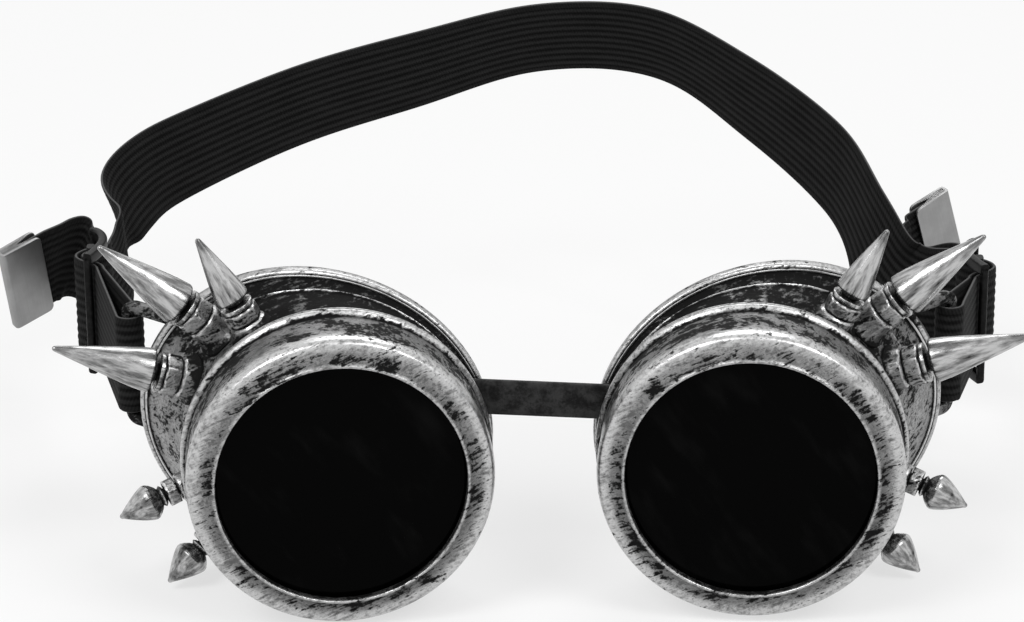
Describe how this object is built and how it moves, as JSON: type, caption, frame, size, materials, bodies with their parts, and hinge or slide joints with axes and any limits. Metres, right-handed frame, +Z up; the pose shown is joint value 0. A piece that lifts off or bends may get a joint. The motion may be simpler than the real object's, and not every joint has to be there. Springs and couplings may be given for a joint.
{
  "type": "spiked goggles",
  "caption": "Cup goggles with screw-on round dark lenses, cone-spike studs on the outer sides, a bridge strip and an elastic head strap with sliders.",
  "frame": {"origin": "middle of the footprint, on the surface that the cups stand on", "axes": "+Z up, the lenses face -Y, +X is to the right of someone who looks at the lenses"},
  "size_m": [0.2042, 0.1618, 0.0781],
  "materials": {
    "aged silver": "metallised in silver, blackened in the recesses and rubbed bright on the edges",
    "polished silver": "polished",
    "dark lens": "very dark, glossy",
    "black rubber": "matte",
    "black strip": "lightly textured",
    "black elastic": "ribbed woven elastic",
    "black plastic": "moulded, satin",
    "satin steel": "satin"
  },
  "bodies": {
    "frame": {"left_cup": "aged silver", "right_cup": "aged silver", "bridge_strip": "black strip", "head_strap": "black elastic", "left_strap_end": "black elastic", "right_strap_end": "black elastic", "left_tail_clamp": "satin steel", "right_tail_clamp": "satin steel", "left_top_spike": "polished silver", "left_upper_spike": "polished silver", "left_side_spike": "polished silver", "left_lower_spike": "polished silver", "left_bottom_spike": "polished silver", "right_top_spike": "polished silver", "right_upper_spike": "polished silver", "right_side_spike": "polished silver", "right_lower_spike": "polished silver", "right_bottom_spike": "polished silver", "left_top_collar": "polished silver", "left_upper_collar": "polished silver", "left_side_collar": "polished silver", "right_top_collar": "polished silver", "right_upper_collar": "polished silver", "right_side_collar": "polished silver", "left_top_nut": "aged silver", "left_upper_nut": "aged silver", "left_side_nut": "aged silver", "left_lower_nut": "aged silver", "left_bottom_nut": "aged silver", "right_top_nut": "aged silver", "right_upper_nut": "aged silver", "right_side_nut": "aged silver", "right_lower_nut": "aged silver", "right_bottom_nut": "aged silver"},
    "left_lens_set": {"left_lens": "dark lens", "left_lens_gasket": "black rubber"},
    "right_lens_set": {"right_lens": "dark lens", "right_lens_gasket": "black rubber"},
    "left_bezel_ring": {"left_bezel": "aged silver"},
    "right_bezel_ring": {"right_bezel": "aged silver"},
    "left_strap_slider": {"left_slider": "black plastic"},
    "right_strap_slider": {"right_slider": "black plastic"}
  },
  "joints": [
    {"name": "left_lens_advance", "type": "slide", "parent": "frame", "child": "left_lens_set", "axis": [0.0872, -0.9962, 0], "range_m": [0, 0.009]},
    {"name": "left_bezel_turn", "type": "hinge", "parent": "left_lens_set", "child": "left_bezel_ring", "pos_m": [-0.02997, -0.07875, 0.03], "axis": [0.0872, -0.9962, 0], "range_deg": [0, 1080]},
    {"name": "right_lens_advance", "type": "slide", "parent": "frame", "child": "right_lens_set", "axis": [-0.0872, -0.9962, 0], "range_m": [0, 0.009]},
    {"name": "right_bezel_turn", "type": "hinge", "parent": "right_lens_set", "child": "right_bezel_ring", "pos_m": [0.04603, -0.07875, 0.03], "axis": [-0.0872, -0.9962, 0], "range_deg": [0, 1080]},
    {"name": "left_slider_travel", "type": "slide", "parent": "frame", "child": "left_strap_slider", "axis": [0.4199, -0.9076, 0], "range_m": [0, 0.008], "deforming": ["left_strap_end"]},
    {"name": "right_slider_travel", "type": "slide", "parent": "frame", "child": "right_strap_slider", "axis": [-0.4199, -0.9076, 0], "range_m": [0, 0.008], "deforming": ["right_strap_end"]}
  ],
  "couplings": [
    {"joint": "left_lens_advance", "follows": "left_bezel_turn", "m_per_rad": 0.000477},
    {"joint": "right_lens_advance", "follows": "right_bezel_turn", "m_per_rad": 0.000477}
  ]
}
